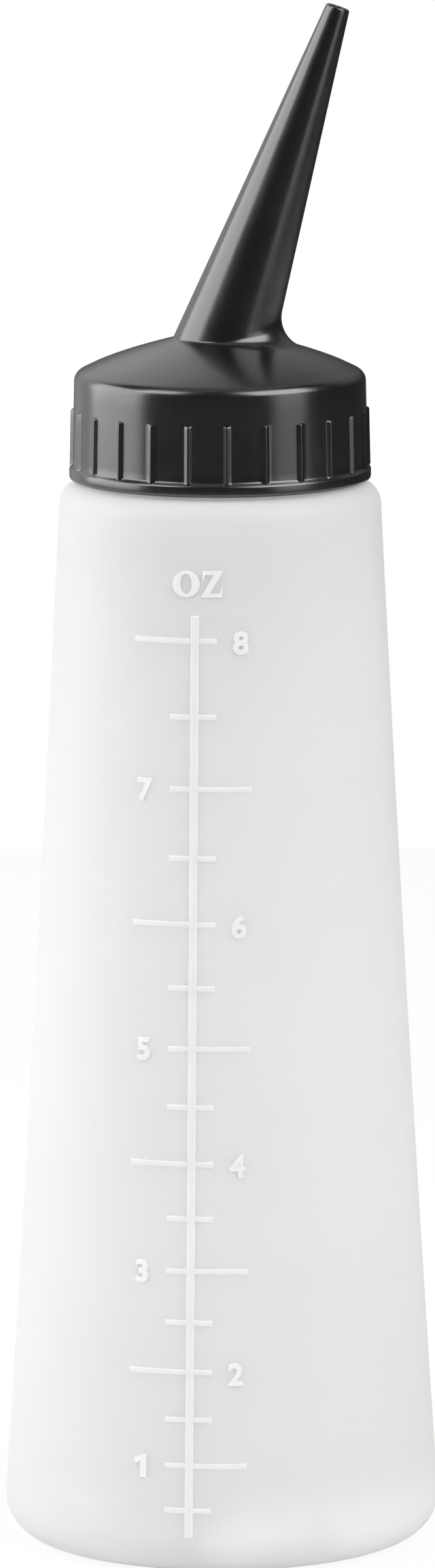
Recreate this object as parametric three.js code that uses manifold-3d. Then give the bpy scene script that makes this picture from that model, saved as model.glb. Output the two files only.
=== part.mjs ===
// Eight ounce applicator bottle with a slanted nozzle cap. Millimetres, +Z up.
// The origin is the centre of the base, on the plane that the bottle stands on.
// The front, with the graduation scale, faces -Y, and the nozzle leans towards +X.
import * as THREE from 'three';
import Module from 'manifold-3d';
import { mergeVertices } from 'three/addons/utils/BufferGeometryUtils.js';

const wasm = await Module();
wasm.setup();

// Blown bottle: outside form
const shoulderHeight = 143.7;
const bodyBaseRadius = 29.6;
const bodyTopRadius = 21.35;
const bodyWaist = 0.35;
const baseCornerRound = 5.4;
const shoulderRound = 3.2;
const bottleWall = 0.9;
const baseWall = 1.8;

// Base: a ring to stand on around a shallow push-up
const footOuterRadius = 24.2;
const footWidth = 1.9;
const footLedge = 0.5;
const pushUpHeight = 3.4;

// Neck finish
const neckRadius = 16.7;
const neckHeight = 12.2;
const neckWall = 1.5;
const neckRootRound = 0.7;
const lipRound = 0.4;
const threadDepth = 1.1;
const threadPitch = 4.2;
const threadTurns = 1.5;
const threadRise = 2.2;
const threadRootWidth = 2.2;
const threadCrestWidth = 1.1;
const threadLeadAngle = Math.PI / 5;

// Raised graduation scale
const scaleAngle = THREE.MathUtils.degToRad(-8);
const scaleOunces = 8;
const ounceVolume = 29573.5;
const lineWidth = 1.1;
const tickWidth = 0.85;
const tickShortReach = 3.3;
const tickLongReach = 7.8;
const markHeight = 0.3;
const markRoot = 0.4;
const markBevel = 0.12;
const lineOverrun = 3.4;

// Clearances between the cap and the bottle
const capBottomGap = 0.3;
const lipGap = 0.3;
const plugGap = 0.3;
const threadGap = 0.4;

// Nozzle cap: skirt, bead and ribs
const skirtWall = 1.25;
const skirtDraft = 0.25;
const beadStand = 0.45;
const beadHeight = 2.1;
const beadSteps = 6;
const ribCount = 24;
const ribHeight = 7.4;
const ribWidth = 0.65;
const ribStand = 0.4;
const ribRamp = 0.8;
const ribFirstAngle = THREE.MathUtils.degToRad(2.65);

// Nozzle cap: dome
const domeWall = 1.5;
const domeEdgeRound = 1.6;
const domeInnerSlope = 0.257;
const domeSlopeGain = 0.28;
const domeEdgeRise = 0.43;
const plugThickness = 1.0;
const plugHeight = 3.0;
const plugTaper = 0.25;

// Nozzle
const nozzleLean = THREE.MathUtils.degToRad(18.6);
const nozzleLength = 49.4;
const nozzleRootRadius = 6.8;
const nozzleTipRadius = 1.6;
const nozzleRootWall = 1.35;
const nozzleHoleRadius = 0.8;
const nozzleTipRound = 0.3;
const nozzleStartBelowDome = 4.2;
const filletSmall = 0.35;
const filletLarge = 4.3;
const filletFalloff = 3;

// Facets
const bottleSegments = 60;
const capSegments = 48;
const nozzleSegments = 32;
const threadStepsPerTurn = 20;
const arcTolerance = 0.06;
const bodySteps = 5;

// Heights and radii that follow from the sizes above
const footInnerRadius = footOuterRadius - footWidth;
const neckTop = shoulderHeight + neckHeight;
const neckBore = neckRadius - neckWall;
const capBottom = shoulderHeight + capBottomGap;
const capSeat = neckTop + lipGap;
const capBore = neckRadius + threadDepth + threadGap;
const skirtEdgeRadius = capBore + skirtWall;
const skirtBaseRadius = skirtEdgeRadius + skirtDraft;
const beadRadius = skirtBaseRadius + beadStand;
const beadTop = capBottom + beadHeight;
const domeEdge = capSeat + domeWall + domeEdgeRise;
const domeTop = domeEdge + skirtEdgeRadius * (domeInnerSlope + domeSlopeGain / 4);

// Radius of the outside of the body: a straight taper, drawn in slightly half way up
function bodyRadiusAt(z) {
  const t = z / shoulderHeight;
  return THREE.MathUtils.lerp(bodyBaseRadius, bodyTopRadius, t) - bodyWaist * 4 * t * (1 - t);
}

// Height of the outside of the dome: its slope grows towards the edge
function domeHeightAt(r) {
  const share = r / skirtEdgeRadius;
  const extra = (domeSlopeGain * skirtEdgeRadius * share ** 4) / 4;
  return domeTop - domeInnerSlope * r - extra;
}

function domeSlopeAt(r) {
  return domeInnerSlope + domeSlopeGain * (r / skirtEdgeRadius) ** 3;
}

// Height at which the bottle holds a volume, found by adding up thin slices of its inside.
// The rounded corner and the push-up take away from the lowest slices.
function fillHeight(volume) {
  const slice = 0.1;
  const innerRound = baseCornerRound - bottleWall;
  let level = slice / 2;
  let held = 0;
  while (held < volume) {
    const belowRound = Math.max(0, innerRound - level);
    const corner = innerRound - Math.sqrt(innerRound ** 2 - belowRound ** 2);
    const outer = bodyRadiusAt(baseWall + level) - bottleWall - corner;
    const pushUp = footInnerRadius * Math.sqrt(Math.max(0, 1 - level / pushUpHeight));
    held += Math.PI * (outer ** 2 - pushUp ** 2) * slice;
    level += slice;
  }
  return baseWall + level - slice / 2;
}

// An outline from corner points [radius, height, rounding], each rounding made as an arc
function roundedOutline(corners) {
  const outline = [];
  corners.forEach(([r, z, round], i) => {
    const corner = new THREE.Vector2(r, z);
    if (!round) {
      outline.push(corner);
      return;
    }
    const before = new THREE.Vector2(...corners[i - 1]).sub(corner).normalize();
    const after = new THREE.Vector2(...corners[i + 1]).sub(corner).normalize();
    const halfAngle = Math.acos(THREE.MathUtils.clamp(before.dot(after), -1, 1)) / 2;
    const tangent = round / Math.tan(halfAngle);
    const bisector = before.clone().add(after).normalize();
    const centre = corner.clone().addScaledVector(bisector, round / Math.sin(halfAngle));
    const start = corner.clone().addScaledVector(before, tangent).sub(centre);
    const end = corner.clone().addScaledVector(after, tangent).sub(centre);
    const sweep = Math.atan2(start.cross(end), start.dot(end));
    const step = 2 * Math.acos(1 - arcTolerance / round);
    const steps = Math.ceil(Math.abs(sweep) / step);
    for (let k = 0; k <= steps; k += 1) {
      const point = start.clone().rotateAround(new THREE.Vector2(), (sweep * k) / steps);
      outline.push(point.add(centre));
    }
  });
  return outline;
}

// A profile revolved about the Z axis
function revolve(outline, segments) {
  return new THREE.LatheGeometry(outline, segments).rotateX(Math.PI / 2);
}

// A skin through rings of points, closed on itself or capped at both ends
function loft(rings, closed) {
  const count = rings[0].length;
  const positions = rings.flat().flatMap((p) => p.toArray());
  const index = [];
  const spans = closed ? rings.length : rings.length - 1;
  for (let i = 0; i < spans; i += 1) {
    const next = (i + 1) % rings.length;
    for (let j = 0; j < count; j += 1) {
      const side = (j + 1) % count;
      const a = i * count + j;
      const b = i * count + side;
      const c = next * count + side;
      const d = next * count + j;
      index.push(a, b, c, a, c, d);
    }
  }
  if (!closed) {
    const last = (rings.length - 1) * count;
    for (let j = 1; j < count - 1; j += 1) {
      index.push(0, j + 1, j);
      index.push(last, last + j, last + j + 1);
    }
  }
  const geometry = new THREE.BufferGeometry();
  geometry.setAttribute('position', new THREE.Float32BufferAttribute(positions, 3));
  geometry.setIndex(index);
  return geometry;
}

function toSolid(geometry) {
  const bare = geometry.clone();
  bare.deleteAttribute('normal');
  bare.deleteAttribute('uv');
  const merged = mergeVertices(bare, 1e-4);
  const mesh = new wasm.Mesh({
    numProp: 3,
    vertProperties: new Float32Array(merged.attributes.position.array),
    triVerts: new Uint32Array(merged.index.array),
  });
  mesh.merge();
  return new wasm.Manifold(mesh);
}

function toGeometry(solid) {
  const mesh = solid.getMesh();
  const geometry = new THREE.BufferGeometry();
  geometry.setAttribute('position', new THREE.BufferAttribute(mesh.vertProperties, 3));
  geometry.setIndex(new THREE.BufferAttribute(mesh.triVerts, 1));
  geometry.computeVertexNormals();
  return geometry;
}

// The underside of the push-up, a shallow dome: points from its rim to its middle
function pushUpDome(lift) {
  return [1, 0.75, 0.45, 0].map((share) => [
    (footInnerRadius - footLedge) * share,
    footLedge + (pushUpHeight - footLedge) * (1 - share ** 2) + lift,
  ]);
}

// Bottle shell: outside from the middle of the base up to the lip, then inside back down
function bottleShell() {
  const sides = [];
  for (let i = 1; i < bodySteps; i += 1) {
    sides.push((shoulderHeight * i) / bodySteps);
  }
  const outerSide = sides.map((z) => [bodyRadiusAt(z), z]);
  const innerSide = sides.map((z) => [bodyRadiusAt(z) - bottleWall, z]).reverse();
  return revolve(
    roundedOutline([
      ...pushUpDome(0).reverse(),
      [footInnerRadius, 0],
      [bodyRadiusAt(0), 0, baseCornerRound],
      ...outerSide,
      [bodyTopRadius, shoulderHeight, shoulderRound],
      [neckRadius, shoulderHeight, neckRootRound],
      [neckRadius, neckTop, lipRound],
      [neckBore, neckTop, lipRound],
      [neckBore, shoulderHeight - bottleWall, neckRootRound + bottleWall],
      [bodyTopRadius - bottleWall, shoulderHeight - bottleWall, shoulderRound - bottleWall],
      ...innerSide,
      [bodyRadiusAt(0) - bottleWall, baseWall, baseCornerRound - bottleWall],
      [footInnerRadius, baseWall],
      ...pushUpDome(baseWall),
    ]),
    bottleSegments,
  );
}

// One helical ridge around the neck, fading in and out of the wall at its two ends
function neckThread() {
  const rings = [];
  const steps = Math.round(threadTurns * threadStepsPerTurn);
  const sweep = threadTurns * 2 * Math.PI;
  const start = shoulderHeight + threadRise;
  for (let i = 0; i <= steps; i += 1) {
    const turned = (sweep * i) / steps;
    const z = start + (threadPitch * turned) / (2 * Math.PI) + threadRootWidth / 2;
    const lead = Math.min(turned, sweep - turned) / threadLeadAngle;
    const rise = threadDepth * Math.min(1, lead) - (1 - Math.min(1, lead)) * (neckWall / 4);
    const around = (r, height) => new THREE.Vector3(r * Math.cos(turned), r * Math.sin(turned), height);
    const root = neckRadius - neckWall / 2;
    const crest = neckRadius + rise;
    rings.push([
      around(root, z - threadRootWidth / 2),
      around(root, z + threadRootWidth / 2),
      around(crest, z + threadCrestWidth / 2),
      around(crest, z - threadCrestWidth / 2),
    ]);
  }
  return loft(rings, false);
}

// A flat bar bent onto the front of the body wall: x runs around from the scale's line, -y
// is outwards and z is the height. Its outer face is smaller than its root by the bevel.
function raisedBar(left, right, low, high, around, up) {
  const middle = new THREE.Vector3((left + right) / 2, (markRoot - markHeight) / 2, (low + high) / 2);
  const bar = new THREE.BoxGeometry(right - left, markHeight + markRoot, high - low, around, 1, up);
  bar.translate(...middle);
  const place = bar.attributes.position;
  for (let i = 0; i < place.count; i += 1) {
    const point = new THREE.Vector3().fromBufferAttribute(place, i);
    if (point.y < 0) {
      point.x *= 1 - (2 * markBevel) / (right - left);
      point.z -= Math.sign(point.z - middle.z) * markBevel;
    }
    const wall = bodyRadiusAt(point.z);
    const angle = scaleAngle + point.x / wall;
    const radius = wall - point.y;
    place.setXYZ(i, radius * Math.sin(angle), -radius * Math.cos(angle), point.z);
  }
  return toSolid(bar);
}

// The scale: one upright line, and a tick at each half ounce that the inside volume gives.
// Even ounces reach far to the left, odd ounces far to the right, and halves are short.
function graduationScale() {
  const half = tickWidth / 2;
  const top = fillHeight(scaleOunces * ounceVolume) + lineOverrun;
  const low = baseCornerRound;
  let scale = raisedBar(-lineWidth / 2, lineWidth / 2, low, top, 1, 2 * bodySteps);
  for (let halves = 1; halves <= 2 * scaleOunces; halves += 1) {
    const z = fillHeight((halves * ounceVolume) / 2);
    const left = halves % 4 === 0 ? tickLongReach : tickShortReach;
    const right = halves % 4 === 2 ? tickLongReach : tickShortReach;
    scale = scale.add(raisedBar(-left, right, z - half, z + half, 4, 1));
  }
  return scale;
}

// The bead's outside: an arc that bulges from the foot of the skirt
function beadArc() {
  const half = beadHeight / 2;
  const radius = (half ** 2 + beadStand ** 2) / (2 * beadStand);
  const reach = Math.asin(half / radius);
  const arc = [];
  for (let i = 0; i <= beadSteps; i += 1) {
    const angle = THREE.MathUtils.lerp(-reach, reach, i / beadSteps);
    const r = beadRadius + radius * (Math.cos(angle) - 1);
    arc.push([r, capBottom + half + radius * Math.sin(angle)]);
  }
  return arc;
}

// Cap outside: bead, drafted skirt, rounded edge and dome
function capOutside() {
  const dome = [0.86, 0.68, 0.48, 0.28, 0].map((share) => {
    const r = share * skirtEdgeRadius;
    return [r, domeHeightAt(r)];
  });
  return revolve(
    roundedOutline([
      [0, capBottom],
      ...beadArc(),
      [skirtEdgeRadius, domeEdge, domeEdgeRound],
      ...dome,
    ]),
    capSegments,
  );
}

// Space inside the cap: the bore over the thread, the seat on the lip, the plug ring that
// seals inside the neck, and the hollow under the dome
function capInside() {
  const margin = 1;
  const plugOuter = neckBore - plugGap;
  const plugInner = plugOuter - plugThickness;
  const plugBottom = capSeat - plugHeight;
  const hollow = [1, 0.8, 0.6, 0.4, 0].map((share) => {
    const r = share * plugInner;
    return [r, domeHeightAt(r) - domeWall];
  });
  return revolve(
    roundedOutline([
      [0, capBottom - margin],
      [capBore, capBottom - margin],
      [capBore, capSeat, lipRound],
      [plugOuter, capSeat],
      [plugOuter - plugTaper, plugBottom],
      [plugInner, plugBottom],
      ...hollow,
    ]),
    capSegments,
  );
}

// One grip rib, standing on the bead, with its upper end ramped into the skirt
function gripRib(number) {
  const root = skirtEdgeRadius - skirtWall / 2;
  const crest = skirtBaseRadius + ribStand;
  const low = capBottom + beadHeight / 2;
  const top = beadTop + ribHeight;
  const topCrest = skirtEdgeRadius + ribStand;
  const side = new THREE.Shape([
    new THREE.Vector2(root, low),
    new THREE.Vector2(crest, low),
    new THREE.Vector2(topCrest, top - ribRamp),
    new THREE.Vector2(topCrest - ribStand / 2, top - ribRamp / 4),
    new THREE.Vector2(root, top),
  ]);
  const rib = new THREE.ExtrudeGeometry(side, { depth: ribWidth, bevelEnabled: false, steps: 1 });
  rib.translate(0, 0, -ribWidth / 2);
  rib.rotateX(Math.PI / 2);
  rib.rotateZ(ribFirstAngle - Math.PI / 2 + (number * 2 * Math.PI) / ribCount);
  return toSolid(rib);
}

// The nozzle's axis starts on the cap's axis, where the cone would have its root radius
const nozzleOrigin = new THREE.Vector3(0, 0, domeTop - nozzleStartBelowDome);
const nozzleAxis = new THREE.Vector3(Math.sin(nozzleLean), 0, Math.cos(nozzleLean));
const nozzleTaper = (nozzleRootRadius - nozzleTipRadius) / nozzleLength;

function placeOnNozzle(geometry) {
  const up = new THREE.Vector3(0, 0, 1);
  geometry.applyQuaternion(new THREE.Quaternion().setFromUnitVectors(up, nozzleAxis));
  geometry.translate(...nozzleOrigin);
  return toSolid(geometry);
}

function nozzleOutside() {
  const below = domeWall + nozzleRootWall;
  return placeOnNozzle(
    revolve(
      roundedOutline([
        [0, -below],
        [nozzleRootRadius + below * nozzleTaper, -below],
        [nozzleTipRadius, nozzleLength, nozzleTipRound],
        [0, nozzleLength],
      ]),
      nozzleSegments,
    ),
  );
}

function nozzleBore() {
  const margin = 1;
  const boreRoot = nozzleRootRadius - nozzleRootWall;
  const boreTaper = (boreRoot - nozzleHoleRadius) / nozzleLength;
  const below = domeWall;
  return placeOnNozzle(
    revolve(
      [
        new THREE.Vector2(0, -below),
        new THREE.Vector2(boreRoot + below * boreTaper, -below),
        new THREE.Vector2(nozzleHoleRadius, nozzleLength),
        new THREE.Vector2(nozzleHoleRadius, nozzleLength + margin),
        new THREE.Vector2(0, nozzleLength + margin),
      ],
      nozzleSegments,
    ),
  );
}

// The fillet where the nozzle meets the dome, as a ball rolled round the corner. The ball is
// largest under the lean, and shrinks to almost nothing on the far side.
function rootFillet() {
  const cosTaper = Math.cos(Math.atan(nozzleTaper));
  const across = new THREE.Vector3(Math.cos(nozzleLean), 0, -Math.sin(nozzleLean));
  const sideways = new THREE.Vector3(0, 1, 0);
  const arcSteps = 5;
  const rings = [];
  for (let i = 0; i < nozzleSegments; i += 1) {
    const turn = (i * 2 * Math.PI) / nozzleSegments;
    const out = across.clone().multiplyScalar(Math.cos(turn));
    out.addScaledVector(sideways, Math.sin(turn));
    const nearLean = ((1 + Math.cos(turn)) / 2) ** filletFalloff;
    const ball = THREE.MathUtils.lerp(filletSmall, filletLarge, nearLean);
    const domeNormalAt = (p) => {
      const r = Math.hypot(p.x, p.y);
      const slope = domeSlopeAt(r);
      return new THREE.Vector3((slope * p.x) / r, (slope * p.y) / r, 1).normalize();
    };
    const onCone = (u, lift) => {
      const radius = nozzleRootRadius - u * nozzleTaper + lift / cosTaper;
      return nozzleOrigin.clone().addScaledVector(nozzleAxis, u).addScaledVector(out, radius);
    };
    const aboveDome = (p) => (p.z - domeHeightAt(Math.hypot(p.x, p.y))) * domeNormalAt(p).z;
    const settle = (lift) => {
      let low = -nozzleRootRadius;
      let high = nozzleLength / 2;
      for (let k = 0; k < 40; k += 1) {
        const u = (low + high) / 2;
        if (aboveDome(onCone(u, lift)) < lift) {
          low = u;
        } else {
          high = u;
        }
      }
      return onCone(low, lift);
    };
    const centre = settle(ball);
    const coneNormal = out.clone().addScaledVector(nozzleAxis, nozzleTaper).normalize();
    const domeNormal = domeNormalAt(centre);
    const sweep = coneNormal.angleTo(domeNormal);
    const hinge = new THREE.Vector3().crossVectors(coneNormal, domeNormal).normalize();
    const bury = Math.min(domeWall, nozzleRootWall) / 3;
    const crease = settle(0);
    const ring = [];
    ring.push(centre.clone().addScaledVector(coneNormal, -ball - bury));
    for (let k = 0; k <= arcSteps; k += 1) {
      const touch = coneNormal.clone().applyAxisAngle(hinge, (sweep * k) / arcSteps);
      ring.push(centre.clone().addScaledVector(touch, -ball));
    }
    ring.push(centre.clone().addScaledVector(domeNormal, -ball - bury));
    ring.push(crease.addScaledVector(coneNormal, -bury).addScaledVector(domeNormal, -bury));
    rings.push(ring);
  }
  return toSolid(loft(rings, true));
}

function nozzleCap() {
  let cap = toSolid(capOutside());
  for (let i = 0; i < ribCount; i += 1) {
    cap = cap.add(gripRib(i));
  }
  cap = cap.add(nozzleOutside()).add(rootFillet());
  return cap.subtract(toSolid(capInside())).subtract(nozzleBore());
}

function bottle() {
  return toSolid(bottleShell()).add(toSolid(neckThread())).add(graduationScale());
}

function namedMesh(name, solid, material) {
  const mesh = new THREE.Mesh(toGeometry(solid), material);
  mesh.name = name;
  return mesh;
}

const naturalPolyethylene = new THREE.MeshStandardMaterial({
  color: 0xe6e6e4,
  roughness: 0.5,
  metalness: 0,
});
const blackPlastic = new THREE.MeshStandardMaterial({
  color: 0x1e1e1e,
  roughness: 0.32,
  metalness: 0,
});

const applicator = new THREE.Group();
applicator.add(namedMesh('bottle', bottle(), naturalPolyethylene));
applicator.add(namedMesh('nozzle_cap', nozzleCap(), blackPlastic));

export default applicator;
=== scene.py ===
# An eight ounce applicator bottle with a slanted nozzle cap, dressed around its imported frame.
# Sizes are in millimetres. +Z is up, the scale faces -Y and the nozzle leans towards +X.
import math

import bmesh
import bpy
import numpy as np
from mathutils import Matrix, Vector


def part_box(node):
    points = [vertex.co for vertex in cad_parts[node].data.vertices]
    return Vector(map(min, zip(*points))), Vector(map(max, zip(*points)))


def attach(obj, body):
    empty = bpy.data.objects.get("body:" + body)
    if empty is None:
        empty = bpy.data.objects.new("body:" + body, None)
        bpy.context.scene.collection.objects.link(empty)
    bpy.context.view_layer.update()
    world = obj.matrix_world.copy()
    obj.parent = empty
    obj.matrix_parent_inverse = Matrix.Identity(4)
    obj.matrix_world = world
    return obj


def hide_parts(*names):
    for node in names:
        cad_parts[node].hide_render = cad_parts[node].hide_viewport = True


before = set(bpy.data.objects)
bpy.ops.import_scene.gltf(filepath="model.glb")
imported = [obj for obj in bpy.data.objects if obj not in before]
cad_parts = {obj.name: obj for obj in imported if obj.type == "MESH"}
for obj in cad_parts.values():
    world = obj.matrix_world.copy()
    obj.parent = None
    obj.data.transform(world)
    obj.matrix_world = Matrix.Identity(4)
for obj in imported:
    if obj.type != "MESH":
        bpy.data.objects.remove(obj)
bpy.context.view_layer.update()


# Bottle shell: natural polyethylene, milky and translucent, blown in one piece between two
# mould halves. It stands on a ring around a push-up, and a thread on its neck holds the cap.
MM = 0.001
shoulder_height = 143.7
body_base_radius = 29.6
body_top_radius = 21.35
body_waist = 0.35
base_corner_round = 5.4
shoulder_round = 3.2
bottle_wall = 0.9
base_wall = 1.8
foot_outer_radius = 24.2
foot_width = 1.9
foot_ledge = 0.5
foot_round = 0.3
push_up_height = 3.4
neck_radius = 16.7
neck_height = 12.2
neck_wall = 1.5
neck_root_round = 0.7
lip_round = 0.4
foot_inner_radius = foot_outer_radius - foot_width
neck_top = shoulder_height + neck_height
neck_bore = neck_radius - neck_wall

thread_pitch = 4.2
thread_lead_angle = math.radians(36)
neck_thread_rise = 3.3
neck_thread_start = shoulder_height + neck_thread_rise
neck_thread_turns = 1.5
neck_thread_depth = 1.1
neck_thread_root = 2.2
neck_thread_crest = 1.1

# The two mould halves meet a quarter turn from the scale, and close the base in a pinched seam
scale_angle = math.radians(-8.8)
seam_stand = 0.07
seam_half_width = 0.3
pinch_stand = 0.3
pinch_half_width = 1.1
pinch_half_length = 17.0
pinch_room = 1.0

# How finely the shell is drawn: its columns and rings, and the longest steps along an outline,
# from a straight that stays whole to one that carries a thread
shell_columns = 216
seam_columns = 5
side_rings = 17
push_up_rings = 14
push_up_middle = 0.02
whole_step = 9
wide_step = 4
even_step = 2
fine_step = 0.5
thread_step = 0.3
crease_angle = math.radians(38)
weld_distance = 0.001
same_radius = 0.01


def body_radius(height):
    """Radius of the body's outside: a straight taper, drawn in slightly half way up."""
    share = height / shoulder_height
    straight = body_base_radius + (body_top_radius - body_base_radius) * share
    return straight - body_waist * 4 * share * (1 - share)


def smooth(share):
    """Eases a share from 0 to 1, level at both ends."""
    share = np.clip(share, 0, 1)
    return share * share * (3 - 2 * share)


def outline(corners):
    """Points along an outline of corners (across, up, rounding, longest step on the way there)."""
    facet_angle = math.radians(10)
    line = []
    for number, (across, up, rounding, step) in enumerate(corners):
        corner = np.array([across, up])
        bend = [corner]
        if rounding:
            back = np.array(corners[number - 1][:2]) - corner
            ahead = np.array(corners[number + 1][:2]) - corner
            back = back / np.linalg.norm(back)
            ahead = ahead / np.linalg.norm(ahead)
            half = math.acos(np.clip(back @ ahead, -1, 1)) / 2
            middle = (back + ahead) / np.linalg.norm(back + ahead)
            centre = corner + middle * rounding / math.sin(half)
            start = corner + back * rounding / math.tan(half) - centre
            end = corner + ahead * rounding / math.tan(half) - centre
            sweep = math.atan2(start[0] * end[1] - start[1] * end[0], start @ end)
            facets = max(2, math.ceil(abs(sweep) / facet_angle))
            turns = [sweep * k / facets for k in range(facets + 1)]
            bend = [
                centre + [
                    start[0] * math.cos(turn) - start[1] * math.sin(turn),
                    start[0] * math.sin(turn) + start[1] * math.cos(turn),
                ]
                for turn in turns
            ]
        if line:
            last = line[-1]
            parts = max(1, math.ceil(np.linalg.norm(bend[0] - last) / step))
            line += [last + (bend[0] - last) * k / parts for k in range(1, parts)]
        line += bend
    return np.array(line)


def piece_from(name, points, faces):
    """A closed piece from points in mm: faces turned outwards, smooth but for its creases."""
    mesh = bpy.data.meshes.new(name)
    mesh.from_pydata((np.asarray(points) * MM).tolist(), [], faces)
    cleaned = bmesh.new()
    cleaned.from_mesh(mesh)
    bmesh.ops.remove_doubles(cleaned, verts=cleaned.verts, dist=weld_distance * MM)
    bmesh.ops.recalc_face_normals(cleaned, faces=cleaned.faces)
    cleaned.to_mesh(mesh)
    cleaned.free()
    mesh.shade_smooth()
    mesh.set_sharp_from_angle(angle=crease_angle)
    piece = bpy.data.objects.new(name, mesh)
    bpy.context.scene.collection.objects.link(piece)
    return piece


def ring_faces(rings, points_around, closes_on_itself):
    """Faces of a skin through rings: the ring after the last is the first, or two poles cap it."""
    number = np.arange(rings * points_around).reshape(rings, points_around)
    if closes_on_itself:
        number = np.vstack([number, number[:1]])
    beside = np.roll(number, -1, axis=1)
    quads = np.stack([number[:-1], beside[:-1], beside[1:], number[1:]], axis=-1)
    faces = quads.reshape(-1, 4).tolist()
    if not closes_on_itself:
        pole = rings * points_around
        faces += [[pole, b, a] for a, b in zip(number[0], beside[0])]
        faces += [[pole + 1, a, b] for a, b in zip(number[-1], beside[-1])]
    return faces


def thread_lift(height, angle, start, turns, depth, root_width, crest_width):
    """How far a helical thread stands out at a height and an angle. Its two ends fade in."""
    lift = np.zeros(np.broadcast(height, angle).shape)
    for turn in range(math.ceil(turns)):
        turned = angle + 2 * math.pi * turn
        middle = start + thread_pitch * turned / (2 * math.pi)
        lead = np.minimum(turned, 2 * math.pi * turns - turned) / thread_lead_angle
        flank = (root_width / 2 - abs(height - middle)) / ((root_width - crest_width) / 2)
        lift = np.maximum(lift, depth * smooth(lead) * smooth(flank))
    return lift


def push_up(lift):
    """The outline of the push-up, a shallow dome under the bottle, from its middle to its rim."""
    dome = []
    for share in np.linspace(push_up_middle, 1, push_up_rings):
        height = foot_ledge + (push_up_height - foot_ledge) * (1 - share ** 2)
        dome.append(((foot_inner_radius - foot_ledge) * share, height + lift, 0, even_step))
    return dome


def moulded_bottle():
    side_heights = np.linspace(0, shoulder_height, side_rings + 2)[1:-1]
    side = [(body_radius(z), z, 0, whole_step) for z in side_heights]
    inner_side = [(r - bottle_wall, z, 0, whole_step) for r, z, _, _ in reversed(side)]
    inner_shoulder = shoulder_height - bottle_wall
    inner_top = body_top_radius - bottle_wall
    inner_base = body_radius(0) - bottle_wall
    outside = outline([
        *push_up(0),
        (foot_inner_radius, 0, foot_round, fine_step),
        (body_radius(0), 0, base_corner_round, even_step),
        *side,
        (body_top_radius, shoulder_height, shoulder_round, whole_step),
        (neck_radius, shoulder_height, neck_root_round, even_step),
        (neck_radius, neck_top, lip_round, thread_step),
        (neck_bore, neck_top, 0, fine_step),
    ])
    inside = outline([
        (neck_bore, neck_top, 0, wide_step),
        (neck_bore, inner_shoulder, neck_root_round + bottle_wall, wide_step),
        (inner_top, inner_shoulder, shoulder_round - bottle_wall, even_step),
        *inner_side,
        (inner_base, base_wall, base_corner_round - bottle_wall, whole_step),
        (foot_inner_radius, base_wall, 0, even_step),
        *reversed(push_up(base_wall)),
    ])
    wall_line = np.vstack([outside, inside[1:]])
    is_outside = (np.arange(len(wall_line)) < len(outside) - 1)[:, None]
    seam_places = np.linspace(-seam_half_width, seam_half_width, seam_columns) / body_top_radius
    seam_angles = [scale_angle + seam_places, scale_angle + math.pi + seam_places]
    even_angles = np.linspace(0, 2 * math.pi, shell_columns, endpoint=False)
    angle = np.unique(np.concatenate([even_angles, *seam_angles]) % (2 * math.pi))[None, :]
    radius = wall_line[:, :1] + np.zeros_like(angle)
    height = wall_line[:, 1:] + np.zeros_like(angle)
    on_neck = is_outside & (abs(radius - neck_radius) < same_radius)
    lift = thread_lift(height, angle, neck_thread_start, neck_thread_turns,
                       neck_thread_depth, neck_thread_root, neck_thread_crest)
    radius = radius + on_neck * lift
    from_seam = abs((angle - scale_angle + math.pi / 2) % math.pi - math.pi / 2)
    on_side = is_outside & (wall_line[:, :1] > neck_bore) & (height > foot_ledge)
    seam_share = 1 - from_seam * body_top_radius / seam_half_width
    radius = radius + on_side * seam_stand * smooth(seam_share)
    along = radius * np.cos(angle - scale_angle)
    across = radius * np.sin(angle - scale_angle)
    is_low = height < push_up_height + pinch_room
    under = is_outside & (radius < foot_inner_radius - pinch_room) & is_low
    pinch_end = smooth((pinch_half_length - abs(along)) / pinch_half_width)
    pinch = smooth(1 - abs(across) / pinch_half_width) * pinch_end
    height = height - under * pinch_stand * pinch
    rings = np.stack([radius * np.cos(angle), radius * np.sin(angle), height], axis=-1)
    poles = [[0, 0, push_up_height - pinch_stand], [0, 0, push_up_height + base_wall]]
    points = np.vstack([rings.reshape(-1, 3), poles])
    return piece_from("bottle_shell", points, ring_faces(*radius.shape, False))


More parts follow.
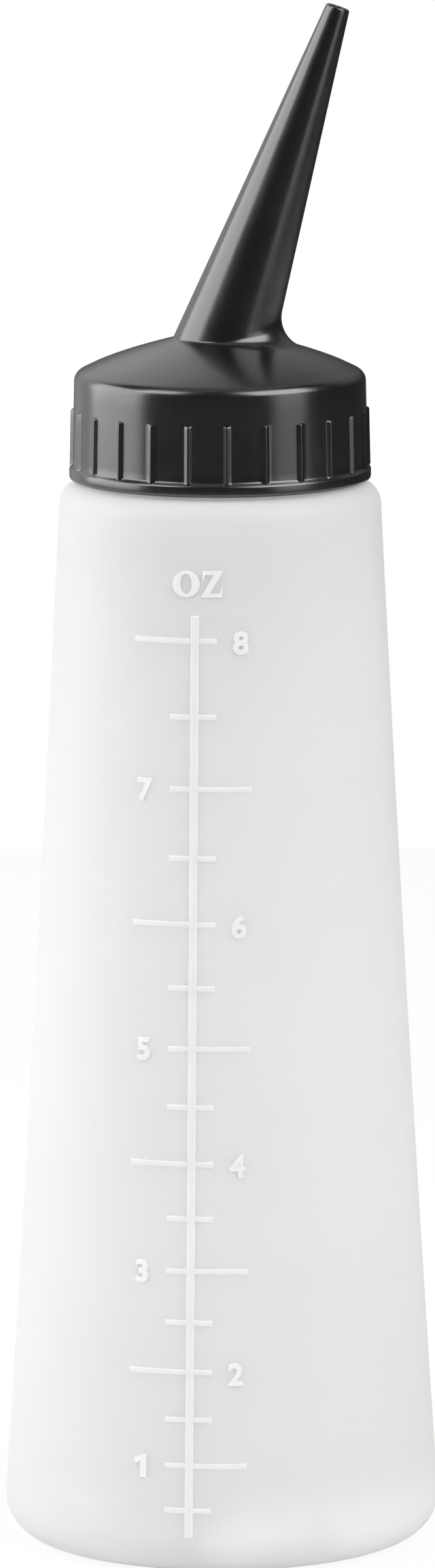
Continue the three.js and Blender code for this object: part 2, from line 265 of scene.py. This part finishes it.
class Wire:
    """An output of a shader tree. Sums and products of wires add their Math nodes to it."""

    def __init__(self, tree, socket=None):
        self.tree = tree
        self.socket = socket

    def node(self, kind, settings, values, output=0):
        """Adds any node: its settings first, then the values or wires of its sockets."""
        made = self.tree.nodes.new("ShaderNode" + kind)
        for name, setting in settings.items():
            setattr(made, name, setting)
        for key, value in values.items():
            socket = next(s for s in made.inputs if key in (s.identifier, s.name))
            if isinstance(value, Wire):
                self.tree.links.new(value.socket, socket)
            else:
                socket.default_value = value
        if isinstance(output, str):
            found = next(s for s in made.outputs if output in (s.identifier, s.name))
            return Wire(self.tree, found)
        return Wire(self.tree, made.outputs[output] if made.outputs else None)

    def maths(self, operation, first, second):
        return self.node("Math", {"operation": operation}, {"Value": first, "Value_001": second})

    def __add__(self, other):
        return self.maths("ADD", self, other)

    __radd__ = __add__

    def __mul__(self, other):
        return self.maths("MULTIPLY", self, other)

    __rmul__ = __mul__

    def __sub__(self, other):
        return self.maths("SUBTRACT", self, other)

    def __rsub__(self, other):
        return self.maths("SUBTRACT", other, self)

    def noise(self, places, per_mm, detail):
        """Smooth noise from 0 to 1 at places in mm."""
        sockets = {"Vector": places, "Scale": per_mm, "Detail": detail}
        return self.node("TexNoise", {}, sockets)

    def eased(self, value, zero_at, one_at, low=0.0, high=1.0):
        """Eases from low to high while a value goes from zero_at to one_at."""
        sockets = {"Value": value, "From Min": zero_at, "From Max": one_at,
                   "To Min": low, "To Max": high}
        return self.node("MapRange", {"interpolation_type": "SMOOTHSTEP"}, sockets)

    def between(self, share, first, second):
        """A colour between two, by a share."""
        sockets = {"Factor_Float": share, "A_Color": first, "B_Color": second}
        return self.node("Mix", {"data_type": "RGBA"}, sockets, "Result_Color")


def new_finish(name):
    """An empty material, the wire to build it with, and its places in mm."""
    finish = bpy.data.materials.new(name)
    finish.use_nodes = True
    finish.node_tree.nodes.clear()
    wire = Wire(finish.node_tree)
    metres = wire.node("TexCoord", {}, {}, "Object")
    scaled = {"Vector": metres, "Scale": 1 / MM}
    return finish, wire, wire.node("VectorMath", {"operation": "SCALE"}, scaled)


# Natural polyethylene: the thin wall scatters light and lets a part of it through, so the
# hollow bottle glows softly. It is faintly clouded, streaked by the blowing, and grained.
# Towards the base corner its colour is painted whiter in patches, a painted glow on the lower body.
milk_clear = (0.76, 0.76, 0.755, 1)
milk_cloudy = (0.84, 0.84, 0.835, 1)
# Painted light: the whiter colour of the painted glow low on the body
milk_painted_glow = (0.95, 0.95, 0.945, 1)
milk_let_through = 0.6
milk_through_colour = (0.97, 0.97, 0.97, 1)
milk_grain = 0.12
milk_ior = 1.5
milk_roughness = 0.36
cloud_roughness = 0.10
grain_roughness = 0.06

# Noise scales are per millimetre: broad clouds, streaks drawn out upwards, and a fine grain
cloud_scale = 0.045
streak_scale = 0.32
streak_direction = (1.0, 1.0, 0.07)
grain_scale = 3.2
cloud_share = 0.7
streak_share = 0.3
cloud_relief = 1.4
streak_relief = 0.6
relief_strength = 0.5
milk_relief_depth = 0.08
# Painted glow: below these heights in mm the colour is painted whiter in noise patches
painted_glow_heights = (13.0, 4.0)
painted_glow_scale = 0.055
painted_glow_edges = (0.4, 0.6)


def natural_polyethylene(name, clear, cloudy, let_through, grain_relief):
    """Milky plastic: a satin surface mixed with a glow through the wall."""
    finish, wire, place = new_finish(name)
    streaked = wire.node("VectorMath", {"operation": "MULTIPLY"},
                         {"Vector": place, "Vector_001": streak_direction})
    clouds = wire.noise(place, cloud_scale, detail=3)
    streaks = wire.noise(streaked, streak_scale, detail=2)
    grain = wire.noise(place, grain_scale, detail=2)
    height = wire.node("SeparateXYZ", {}, {"Vector": place}, "Z")
    # Painted light: a mask of whiter patches low on the body, a painted glow
    patches = wire.eased(wire.noise(place, painted_glow_scale, detail=1), *painted_glow_edges)
    painted_glow_mask = wire.eased(height, *painted_glow_heights) * patches
    colour = wire.between(clouds * cloud_share + streaks * streak_share, clear, cloudy)
    colour = wire.between(painted_glow_mask, colour, milk_painted_glow)
    roughness = milk_roughness + cloud_roughness * clouds + grain_roughness * grain
    relief = streaks * streak_relief + clouds * cloud_relief + grain * grain_relief
    normal = wire.node("Bump", {}, {"Strength": relief_strength,
                                    "Distance": milk_relief_depth * MM, "Height": relief})
    sockets = {"Base Color": colour, "Roughness": roughness, "IOR": milk_ior, "Normal": normal}
    shine = wire.node("BsdfPrincipled", {}, sockets)
    glow = wire.node("BsdfTranslucent", {}, {"Color": milk_through_colour, "Normal": normal})
    both = {"Fac": let_through, "Shader": shine, "Shader_001": glow}
    shader = wire.node("MixShader", {}, both)
    wire.node("OutputMaterial", {}, {"Surface": shader})
    return finish


shell_finish = natural_polyethylene("natural_polyethylene", milk_clear, milk_cloudy,
                                     milk_let_through, milk_grain)
shell = moulded_bottle()
shell.data.materials.append(shell_finish)
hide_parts("bottle")
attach(shell, "bottle")


# Graduation scale: an upright line and a tick at each half ounce, raised on the wall by
# grooves cut in the mould. The heights are those at which the inside holds each volume.
scale_ounces = 8
ounce_volume = 29573.5
line_width = 1.1
tick_width = 0.85
tick_short_left = 3.3
tick_long_left = 8.4
tick_short_right = 2.95
tick_long_right = 7.7
line_stand = 0.2
tick_stand = 0.17
mark_root = 0.25
mark_bevel = 0.28
line_overrun = 3.4
mark_clear = (0.875, 0.875, 0.87, 1)
mark_cloudy = (0.925, 0.925, 0.92, 1)
mark_let_through = 0.40
mark_grain = 0.08
bar_step = 3

# The rounded edge of a mark: how far in and how far up, as shares of its bevel and its stand
mark_edge = [(0, 0.0), (0.12, 0.5), (0.45, 0.87), (1, 1.0)]


def fill_height(volume):
    """Height at which the bottle holds a volume, from thin slices of its inside."""
    slice_height = 0.1
    inner_round = base_corner_round - bottle_wall
    level = slice_height / 2
    held = 0.0
    while held < volume:
        below_round = max(0.0, inner_round - level)
        corner = inner_round - math.sqrt(inner_round ** 2 - below_round ** 2)
        outer = body_radius(base_wall + level) - bottle_wall - corner
        dome = foot_inner_radius * math.sqrt(max(0.0, 1 - level / push_up_height))
        held += math.pi * (outer ** 2 - dome ** 2) * slice_height
        level += slice_height
    return base_wall + level - slice_height / 2


def on_wall(across, height, stand):
    """Places on the front of the body: across runs around from the scale's line."""
    wall = body_radius(height)
    angle = scale_angle + across / wall
    radius = wall + stand
    return np.stack([radius * np.sin(angle), -radius * np.cos(angle), height], axis=-1)


def raised_bar(start, end, width, stand):
    """Rings and poles of a bar with rounded edges on the wall, between two (across, height)."""
    start = np.array(start, float)
    end = np.array(end, float)
    length = np.linalg.norm(end - start)
    forward = (end - start) / length
    sideways = np.array([-forward[1], forward[0]])
    ends = [(mark_bevel * inset, share) for inset, share in mark_edge]
    parts = max(3, round(length / bar_step))
    middle = np.linspace(mark_bevel, length - mark_bevel, parts)[1:-1]
    stations = [*ends, *((m, 1.0) for m in middle), *((length - a, s) for a, s in ends[::-1])]
    section = [(width / 2, None), *((width / 2 - mark_bevel * a, s) for a, s in mark_edge)]
    section += [(-side, share) for side, share in section[::-1]]
    rings = []
    for along, station_share in stations:
        for side, share in section:
            flat = start + forward * along + sideways * side
            lift = -mark_root if share is None else stand * min(share, station_share)
            rings.append([flat[0], flat[1], lift])
    poles = [[*start, -mark_root / 2], [*end, -mark_root / 2]]
    return np.array(rings + poles), ring_faces(len(stations), len(section), False)


tick_heights = [fill_height(halves * ounce_volume / 2) for halves in range(1, 2 * scale_ounces + 1)]
scale_bars = [raised_bar((0, base_corner_round), (0, tick_heights[-1] + line_overrun),
                         line_width, line_stand)]

# A tick is long on the left at an even ounce, and on the right at an odd one
for halves, tick_height in enumerate(tick_heights, start=1):
    reach_left = tick_long_left if halves % 4 == 0 else tick_short_left
    reach_right = tick_long_right if halves % 4 == 2 else tick_short_right
    scale_bars.append(raised_bar((-reach_left, tick_height), (reach_right, tick_height),
                                 tick_width, tick_stand))
scale_points = []
scale_faces = []
for bar_points, bar_faces in scale_bars:
    first = sum(len(points) for points in scale_points)
    scale_faces += [[first + corner for corner in face] for face in bar_faces]
    scale_points.append(on_wall(bar_points[:, 0], bar_points[:, 1], bar_points[:, 2]))
scale_marks = piece_from("graduation_scale", np.vstack(scale_points), scale_faces)
mark_finish = natural_polyethylene("raised_polyethylene", mark_clear, mark_cloudy,
                                   mark_let_through, mark_grain)
scale_marks.data.materials.append(mark_finish)
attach(scale_marks, "bottle")


# Figures and unit: bold sans numerals at the ounce ticks and OZ in serif capitals above the
# line, engraved in the same mould, so they stand from the wall in the bottle's own plastic.
numeral_height = 2.95
numeral_boldness = 0.1
numeral_right = 6.1
numeral_left = -6.7
numeral_drop = 0.2
font_figure_share = 0.73
one_stem = 0.75
one_flag = 0.8
one_flag_fall = 0.55
unit_width = 6.5
unit_height = 3.4
unit_middle = 0.3
unit_rise = 4.2
figure_stand = 0.2
figure_bevel = 0.05
figure_clear = (0.86, 0.86, 0.855, 1)
figure_cloudy = (0.9, 0.9, 0.895, 1)
figure_let_through = 0.25
figure_finish = natural_polyethylene("figure_polyethylene", figure_clear, figure_cloudy,
                                     figure_let_through, mark_grain)


def bent_figure(name, curve, across, height):
    """A flat filled curve, drawn around its middle, as a raised figure bent on the wall."""
    curve.extrude = (figure_stand + mark_root) / 2 - figure_bevel
    curve.bevel_depth = figure_bevel
    curve.bevel_resolution = 2
    drawn = bpy.data.objects.new(name, curve)
    bpy.context.scene.collection.objects.link(drawn)
    bpy.context.view_layer.update()
    flat = drawn.evaluated_get(bpy.context.evaluated_depsgraph_get()).to_mesh()
    corners = np.array([v.co for v in flat.vertices])
    faces = [list(face.vertices) for face in flat.polygons]
    bpy.data.objects.remove(drawn)
    middle = (corners.min(axis=0) + corners.max(axis=0)) / 2
    corners = corners - middle
    stand = corners[:, 2] + (figure_stand - mark_root) / 2
    figure = piece_from(name, on_wall(across + corners[:, 0], height + corners[:, 1], stand), faces)
    figure.data.materials.append(figure_finish)
    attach(figure, "bottle")


def letter_curve(name, loops):
    """A flat filled curve from closed loops of points."""
    curve = bpy.data.curves.new(name, "CURVE")
    curve.dimensions = "2D"
    curve.fill_mode = "BOTH"
    for loop in loops:
        spline = curve.splines.new("POLY")
        spline.points.add(len(loop) - 1)
        spline.points.foreach_set("co", [n for x, y in loop for n in (x, y, 0, 1)])
        spline.use_cyclic_u = True
    return curve


def numeral_one(name):
    """A plain stem with a slanted flag, because the font's own figure is a bare bar."""
    top = numeral_height / 2
    flag_end = -one_stem / 2 - one_flag
    flag_fall = one_flag_fall * one_flag
    return letter_curve(name, [[
        (-one_stem / 2, -top), (one_stem / 2, -top), (one_stem / 2, top), (0, top),
        (flag_end, top - flag_fall), (flag_end, top - flag_fall - one_stem),
        (-one_stem / 2, top - one_stem),
    ]])


def font_numeral(name, figure):
    numeral = bpy.data.curves.new(name, "FONT")
    numeral.body = figure
    numeral.size = numeral_height / font_figure_share
    numeral.offset = numeral_boldness
    return numeral


for ounce in range(1, scale_ounces + 1):
    name = f"numeral_{ounce}"
    numeral = numeral_one(name) if ounce == 1 else font_numeral(name, str(ounce))
    numeral_across = numeral_right if ounce % 2 == 0 else numeral_left
    bent_figure(name, numeral, numeral_across, tick_heights[2 * ounce - 1] - numeral_drop)

# The O is an ellipse with a narrower one as its hole: each half size is the whole over these
o_sides = 40
o_share = 0.54
o_width = unit_width * o_share
o_outside = (2, 2)
o_hole = (4.2, 2.45)
letter_o = []
for part_across, part_up in (o_outside, o_hole):
    wide = o_width / part_across
    tall = unit_height / part_up
    turns = np.linspace(0, 2 * math.pi, o_sides, endpoint=False)
    letter_o.append([(wide * math.cos(turn), tall * math.sin(turn)) for turn in turns])

# The Z has thin bars that end in upright serifs, and a thick slanted stroke
z_share = 0.4
z_half = unit_width * z_share / 2
z_top = unit_height / 2
z_thin = 0.42
z_thick = 0.95
z_serif = 0.75
z_serif_slant = 0.3
z_nick = 0.1
z_low = -z_top + z_thin
z_high = z_top - z_thin
letter_z = [[
    (-z_half, -z_top), (z_half, -z_top), (z_half, z_low + z_serif),
    (z_half - z_serif_slant, z_low), (-z_half + z_thick, z_low), (z_half, z_top - z_nick),
    (z_half, z_top), (-z_half + z_nick, z_top), (-z_half + z_nick, z_high - z_serif),
    (-z_half + z_nick + z_serif_slant, z_high), (z_half - z_thick, z_high),
    (-z_half, -z_top + z_nick),
]]
unit_place = tick_heights[-1] + line_overrun + unit_rise
o_across = unit_middle - (unit_width - o_width) / 2
z_across = unit_middle + unit_width / 2 - z_half
bent_figure("unit_o", letter_curve("unit_o", letter_o), o_across, unit_place)
bent_figure("unit_z", letter_curve("unit_z", letter_z), z_across, unit_place)


# Nozzle cap: black plastic, injection moulded in one piece. A ribbed skirt with a bead and
# an inner thread screws on the neck, a plug ring seals in it, and a hollow nozzle leans out.
cap_gap = 0.3
thread_gap = 0.4
cap_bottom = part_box("nozzle_cap")[0].z / MM
cap_seat = neck_top + cap_gap
cap_bore = neck_radius + neck_thread_depth + thread_gap
skirt_wall = 1.25
skirt_draft = 0.25
skirt_inner_round = 0.25
skirt_tolerance = 0.3
bead_stand = 0.45
bead_height = 2.1
bead_flank = 0.8
bead_round = 0.45
bead_rings = 9
rib_count = 24
rib_height = 7.4
rib_stand = 0.4
rib_ramp = 0.35
rib_first_angle = math.radians(2.65)
rib_offsets = [-0.6, -0.52, -0.16, -0.06, 0.06, 0.16, 0.52, 0.6]
rib_shape = [0, 0.06, 0.88, 1, 1, 0.88, 0.06, 0]
ramp_shares = [-0.3, 0, 0.06, 0.2, 0.45, 0.75, 1]
gap_columns = 8
skirt_edge_radius = cap_bore + skirt_wall
skirt_base_radius = skirt_edge_radius + skirt_draft
bead_top = cap_bottom + bead_height
rib_top = bead_top + rib_height

dome_wall = 1.5
dome_edge_round = 1.6
dome_inner_slope = 0.257
dome_slope_gain = 0.28
dome_edge_rise = 0.43
dome_edge = cap_seat + dome_wall + dome_edge_rise
dome_top = dome_edge + skirt_edge_radius * (dome_inner_slope + dome_slope_gain / 4)
dome_rim_share = 0.86
dome_rim = dome_rim_share * skirt_edge_radius
plug_thickness = 1.0
plug_outer = neck_bore - cap_gap
plug_inner = plug_outer - plug_thickness
plug_height = 3.0
plug_taper = 0.25
plug_root_round = 0.2
plug_end_round = 0.25

nozzle_lean = math.radians(18.6)
nozzle_length = 49.4
nozzle_root_radius = 6.8
nozzle_tip_radius = 1.6
nozzle_hole_radius = 0.8
nozzle_root_wall = 1.35
nozzle_tip_round = 0.3
hole_round = 0.12
tip_run = 1
nozzle_start_below_dome = 4.2
nozzle_taper = (nozzle_root_radius - nozzle_tip_radius) / nozzle_length
bore_root = nozzle_root_radius - nozzle_root_wall
bore_taper = (bore_root - nozzle_hole_radius) / nozzle_length
nozzle_origin = np.array([0, 0, dome_top - nozzle_start_below_dome])
nozzle_axis = np.array([math.sin(nozzle_lean), 0, math.cos(nozzle_lean)])
fillet_small = 0.35
fillet_large = 4.3
fillet_falloff = 3

cap_thread_start = neck_thread_start - thread_pitch / 2
cap_thread_turns = 2.2
cap_thread_depth = 1.05
cap_thread_root = 1.5
cap_thread_crest = 0.6

# How finely the cap is drawn: rings along each of its parts, and steps along its outline
nozzle_rings = 24
fillet_rings = 11
dome_rings = 14
inner_dome_rings = 12
bore_rings = 8
skirt_step = 1
cap_thread_step = 0.25

rib_columns = np.array(rib_offsets) / skirt_base_radius
free_angle = 2 * math.pi / rib_count - rib_columns[-1] + rib_columns[0]
gap_shares = np.arange(1, gap_columns + 1) / (gap_columns + 1)
one_rib = np.concatenate([rib_columns, rib_columns[-1] + free_angle * gap_shares])
rib_places = rib_first_angle + np.arange(rib_count)[:, None] * 2 * math.pi / rib_count
cap_angle = (rib_places + one_rib).ravel()
rib_lift = rib_stand * np.tile(np.concatenate([rib_shape, np.zeros(gap_columns)]), rib_count)
nozzle_out = np.outer(np.cos(cap_angle), [math.cos(nozzle_lean), 0, -math.sin(nozzle_lean)])
nozzle_out = nozzle_out + np.outer(np.sin(cap_angle), [0, 1, 0])


def dome_height(radius):
    """Height of the dome's outside: its slope grows towards the edge."""
    extra = dome_slope_gain * skirt_edge_radius * (radius / skirt_edge_radius) ** 4 / 4
    return dome_top - dome_inner_slope * radius - extra


def dome_normal(points):
    radius = np.hypot(points[:, 0], points[:, 1])
    slope = dome_inner_slope + dome_slope_gain * (radius / skirt_edge_radius) ** 3
    normal = np.stack([slope * points[:, 0] / radius, slope * points[:, 1] / radius,
                       np.ones_like(radius)], axis=-1)
    return normal / np.linalg.norm(normal, axis=1, keepdims=True)


def on_nozzle(radius, along):
    """A ring around the nozzle: its radius and its place along the nozzle's axis."""
    along = np.broadcast_to(along, cap_angle.shape)
    radius = np.broadcast_to(radius, cap_angle.shape)
    return nozzle_origin + along[:, None] * nozzle_axis + radius[:, None] * nozzle_out


def meets(surface, height_of, clearance):
    """Where each line of a cone reaches a clearance above a dome, found by halving."""
    halvings = 40
    low = np.full(cap_angle.shape, -nozzle_root_radius)
    high = np.full(cap_angle.shape, nozzle_length / 2)
    for _ in range(halvings):
        along = (low + high) / 2
        point = surface(along)
        above = point[:, 2] - height_of(np.hypot(point[:, 0], point[:, 1]))
        too_low = above * dome_normal(point)[:, 2] < clearance
        low = np.where(too_low, along, low)
        high = np.where(too_low, high, along)
    return low


def around_cap(radius, height, angle=cap_angle):
    """A ring around the cap's axis."""
    radius = np.broadcast_to(radius, cap_angle.shape)
    height = np.broadcast_to(height, cap_angle.shape)
    return np.stack([radius * np.cos(angle), radius * np.sin(angle), height], axis=-1)


def across_dome(ring, edge_radius, height_of, shares):
    """Rings on a dome between one around the nozzle and a round one around the cap."""
    angle = np.arctan2(ring[:, 1], ring[:, 0])
    turn = (cap_angle - angle + math.pi) % (2 * math.pi) - math.pi
    radius = np.hypot(ring[:, 0], ring[:, 1])
    rings = []
    for share in shares:
        reach = radius + (edge_radius - radius) * share
        rings.append(around_cap(reach, height_of(reach), angle + turn * smooth(share)))
    return rings


def skirt_radius(height):
    share = (height - bead_top) / (dome_edge - bead_top)
    return skirt_base_radius + (skirt_edge_radius - skirt_base_radius) * share


def nozzle_and_fillet():
    """Rings from the hole's rim, down the nozzle and through the fillet at its root."""
    tip_start = nozzle_length - tip_run
    tip = outline([
        (nozzle_hole_radius + bore_taper * tip_run, tip_start, 0, tip_run),
        (nozzle_hole_radius, nozzle_length, hole_round, tip_run),
        (nozzle_tip_radius, nozzle_length, nozzle_tip_round, tip_run),
        (nozzle_tip_radius + nozzle_taper * tip_run, tip_start, 0, tip_run),
    ])
    rings = [on_nozzle(radius, along) for radius, along in tip]
    near_lean = ((1 + np.cos(cap_angle)) / 2) ** fillet_falloff
    ball = fillet_small + (fillet_large - fillet_small) * near_lean
    cos_taper = math.cos(math.atan(nozzle_taper))

    def lifted_cone(along):
        return on_nozzle(nozzle_root_radius - along * nozzle_taper + ball / cos_taper, along)

    centre = lifted_cone(meets(lifted_cone, dome_height, ball))
    cone_normal = nozzle_out + nozzle_axis * nozzle_taper
    cone_normal = cone_normal / np.linalg.norm(cone_normal, axis=1, keepdims=True)
    floor_normal = dome_normal(centre)
    sweep = np.arccos(np.sum(cone_normal * floor_normal, axis=1))[:, None]
    touch_along = (centre - ball[:, None] * cone_normal - nozzle_origin) @ nozzle_axis
    for share in np.linspace(0, 1, nozzle_rings + 2)[1:-1]:
        along = tip_start + (touch_along - tip_start) * share
        rings.append(on_nozzle(nozzle_root_radius - along * nozzle_taper, along))
    for share in np.linspace(0, 1, fillet_rings):
        towards_cone = np.sin((1 - share) * sweep) / np.sin(sweep) * cone_normal
        towards_dome = np.sin(share * sweep) / np.sin(sweep) * floor_normal
        rings.append(centre - ball[:, None] * (towards_cone + towards_dome))
    return rings


def skirt_and_inside():
    """Rings from the dome's edge, down the ribbed skirt and up inside to the plug ring."""
    bead = []
    for share in np.linspace(0, 1, bead_rings):
        radius = skirt_base_radius + bead_stand * smooth(share)
        bead.append((radius, bead_top - bead_flank * share, 0, skirt_step))
    ramp = [rib_top - rib_ramp * share for share in ramp_shares]
    plug_end = cap_seat - plug_height
    line = outline([
        (dome_rim, dome_height(dome_rim), 0, skirt_step),
        (skirt_edge_radius, dome_edge, dome_edge_round, skirt_step),
        *((skirt_radius(height), height, 0, even_step) for height in ramp),
        *bead,
        (skirt_base_radius + bead_stand, cap_bottom, bead_round, skirt_step),
        (cap_bore, cap_bottom, skirt_inner_round, skirt_step),
        (cap_bore, cap_seat, lip_round, cap_thread_step),
        (plug_outer, cap_seat, plug_root_round, even_step),
        (plug_outer - plug_taper, plug_end, plug_end_round, even_step),
        (plug_inner, plug_end, plug_end_round, skirt_step),
        (plug_inner, dome_height(plug_inner) - dome_wall, 0, even_step),
    ])
    rings = []
    for radius, height in line:
        if abs(radius - cap_bore) < same_radius:
            ridge = thread_lift(height, cap_angle % (2 * math.pi), cap_thread_start,
                                cap_thread_turns, cap_thread_depth, cap_thread_root,
                                cap_thread_crest)
            rings.append(around_cap(radius - ridge, height))
            continue
        is_skirt = radius > skirt_edge_radius - skirt_tolerance
        has_ribs = is_skirt and bead_top - bead_flank / 2 < height < rib_top
        climb = np.clip((height - rib_top + rib_ramp) / rib_ramp, 0, 1)
        crest = skirt_radius(height) + rib_lift * math.sqrt(1 - climb ** 2)
        reach_out = np.maximum(radius, crest) if has_ribs else radius
        rings.append(around_cap(reach_out, height))
    return rings


def inner_dome(radius):
    return dome_height(radius) - dome_wall


def bore_cone(along):
    return on_nozzle(bore_root - along * bore_taper, along)


def moulded_cap():
    rings = nozzle_and_fillet()
    dome_shares = np.linspace(0, 1, dome_rings + 2)[1:-1]
    rings += across_dome(rings[-1], dome_rim, dome_height, dome_shares)
    rings += skirt_and_inside()
    mouth_along = meets(bore_cone, inner_dome, 0)
    mouth = bore_cone(mouth_along)
    inner_shares = np.linspace(1, 0, inner_dome_rings)[1:]
    rings += across_dome(mouth, plug_inner, inner_dome, inner_shares)
    bore_run = nozzle_length - tip_run - mouth_along
    for share in np.linspace(0, 1, bore_rings + 2)[1:-1]:
        rings.append(bore_cone(mouth_along + bore_run * share))
    points = np.array(rings)
    faces = ring_faces(len(rings), len(cap_angle), True)
    return piece_from("nozzle_cap_shell", points.reshape(-1, 3), faces)


# Black plastic: a satin gloss that is a little uneven, with a fine mould grain and thin
# scuffs from handling that catch the light.
cap_black = (0.0022, 0.0022, 0.0024, 1)
cap_worn_black = (0.0055, 0.0055, 0.0059, 1)
black_ior = 1.79
black_roughness = 0.15
black_patch_roughness = 0.10
scuff_roughness = 0.08
black_patch_scale = 0.11
scuff_scale = 1.7
scuff_direction = (1.0, 1.0, 0.25)
black_grain_scale = 4.5
worn_patch_share = 0.6
worn_grain_share = 0.4
black_patch_relief = 1.2
scuff_relief = 0.12
black_grain_relief = 0.10
black_relief_depth = 0.06


def black_plastic(name):
    finish, wire, place = new_finish(name)
    drawn_out = wire.node("VectorMath", {"operation": "MULTIPLY"},
                          {"Vector": place, "Vector_001": scuff_direction})
    patches = wire.noise(place, black_patch_scale, detail=3)
    scuffs = wire.noise(drawn_out, scuff_scale, detail=5)
    grain = wire.noise(place, black_grain_scale, detail=2)
    worn = patches * worn_patch_share + grain * worn_grain_share
    colour = wire.between(worn, cap_black, cap_worn_black)
    roughness = black_roughness + black_patch_roughness * patches + scuff_roughness * scuffs
    relief = patches * black_patch_relief + scuffs * scuff_relief + grain * black_grain_relief
    normal = wire.node("Bump", {}, {"Strength": relief_strength,
                                    "Distance": black_relief_depth * MM, "Height": relief})
    sockets = {"Base Color": colour, "Roughness": roughness, "IOR": black_ior, "Normal": normal}
    shader = wire.node("BsdfPrincipled", {}, sockets)
    wire.node("OutputMaterial", {}, {"Surface": shader})
    return finish


cap = moulded_cap()
cap.data.materials.append(black_plastic("black_plastic"))
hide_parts("nozzle_cap")
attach(cap, "cap")


# Studio: a plain pale floor disc, a wide softbox at the left and a narrow one at the right, two
# high ones that fill the bottle from the front corners, and a weak overhead one. The surround
# is dark in front, bright high up behind for the dome, and dim at the right and low behind.
floor_radius = 550
floor_sides = 96
floor_colour = (0.86, 0.86, 0.86, 1)
floor_roughness = 0.9
floor_whitening = 0.88
white = (1, 1, 1, 1)
left_level = 0.85
horizon_level = 0.18
upper_level = 1.2
right_share = 0.3
front_level = 0.07

# Where one part of the surround eases into the next, along the direction's X, Z, X and Y
left_edge = (-0.6, -0.1)
upper_edge = (0.05, 0.5)
right_edge = (-0.25, 0.25)
front_edge = (0.3, 0.6)


def studio_floor():
    turns = np.linspace(0, 2 * math.pi, floor_sides, endpoint=False)
    rim = np.stack([np.cos(turns), np.sin(turns), np.zeros_like(turns)], axis=-1)
    mesh = bpy.data.meshes.new("floor")
    mesh.from_pydata((rim * floor_radius * MM).tolist(), [], [list(range(len(rim)))])
    floor = bpy.data.objects.new("floor", mesh)
    bpy.context.scene.collection.objects.link(floor)
    finish, wire, _ = new_finish("pale_floor")
    paper = wire.node("BsdfPrincipled", {}, {"Base Color": floor_colour,
                                             "Roughness": floor_roughness})
    whitening = wire.node("Emission", {}, {"Color": white, "Strength": 1.0})
    seen = wire.node("LightPath", {}, {}, "Is Camera Ray")
    mixed = wire.node("MixShader", {}, {"Fac": seen * floor_whitening, "Shader": paper,
                                        "Shader_001": whitening})
    wire.node("OutputMaterial", {}, {"Surface": mixed})
    mesh.materials.append(finish)


def softbox(name, place, aim, width, height, level):
    """A rectangular lamp of a size in mm, at a place and aimed at a point, also in mm."""
    lamp_data = bpy.data.lights.new(name, "AREA")
    lamp_data.shape = "RECTANGLE"
    lamp_data.size = width * MM
    lamp_data.size_y = height * MM
    lamp_data.energy = level * math.pi * width * height * MM * MM
    lamp = bpy.data.objects.new(name, lamp_data)
    bpy.context.scene.collection.objects.link(lamp)
    lamp.location = Vector(place) * MM
    towards = Vector(aim) * MM - lamp.location
    lamp.rotation_mode = "QUATERNION"
    lamp.rotation_quaternion = towards.to_track_quat("-Z", "Y")


def studio_surround():
    """A room that lights the bottle and shows in its gloss. The camera itself sees plain white."""
    world = bpy.data.worlds.new("surround")
    world.use_nodes = True
    world.node_tree.nodes.clear()
    wire = Wire(world.node_tree)
    seen = wire.node("LightPath", {}, {}, "Is Camera Ray")
    direction = wire.node("TexCoord", {}, {}, "Generated")
    rightwards = wire.node("SeparateXYZ", {}, {"Vector": direction}, "X")
    backwards = wire.node("SeparateXYZ", {}, {"Vector": direction}, "Y")
    upwards = wire.node("SeparateXYZ", {}, {"Vector": direction}, "Z")
    horizon = wire.eased(rightwards, *left_edge, left_level, horizon_level)
    behind = wire.eased(upwards, *upper_edge, horizon, upper_level)
    shaded = behind * wire.eased(rightwards, *right_edge, 1.0, right_share)
    room = wire.eased(backwards, *front_edge, front_level, shaded)
    level = room * (1 - seen) + seen
    background = wire.node("Background", {}, {"Color": white, "Strength": level})
    wire.node("OutputWorld", {}, {"Surface": background})
    bpy.context.scene.world = world


studio_floor()
studio_surround()
softbox("left_softbox", (-700, 20, 345), (0, 0, 200), 800, 600, 3.85)
softbox("right_softbox", (650, -430, 300), (0, 0, 200), 400, 500, 1.6)
softbox("high_right_softbox", (900, -650, 1050), (0, 0, 120), 1300, 900, 5.2)
softbox("high_left_softbox", (-850, -600, 1050), (0, 0, 120), 700, 600, 5.1)
softbox("overhead_softbox", (0, 0, 1500), (0, 0, 0), 1400, 1400, 0.4)

# Camera: a long lens a metre and a half in front, looking slightly down at the bottle
camera_distance = 1500
camera_height = 350
aim_height = 102.5
camera_lens = 259.9
camera_roll = math.radians(0.1)
camera_data = bpy.data.cameras.new("camera")
camera_data.lens = camera_lens
camera_data.sensor_width = 36
camera_data.clip_start = 0.1
camera_data.clip_end = 20
camera = bpy.data.objects.new("camera", camera_data)
bpy.context.scene.collection.objects.link(camera)
camera.rotation_mode = "XYZ"
camera.location = Vector((0, -camera_distance, camera_height)) * MM
camera_pitch = math.atan2(camera_height - aim_height, camera_distance)
camera.rotation_euler = (math.pi / 2 - camera_pitch, camera_roll, 0)
bpy.context.scene.camera = camera
bpy.context.scene.view_settings.view_transform = "Standard"
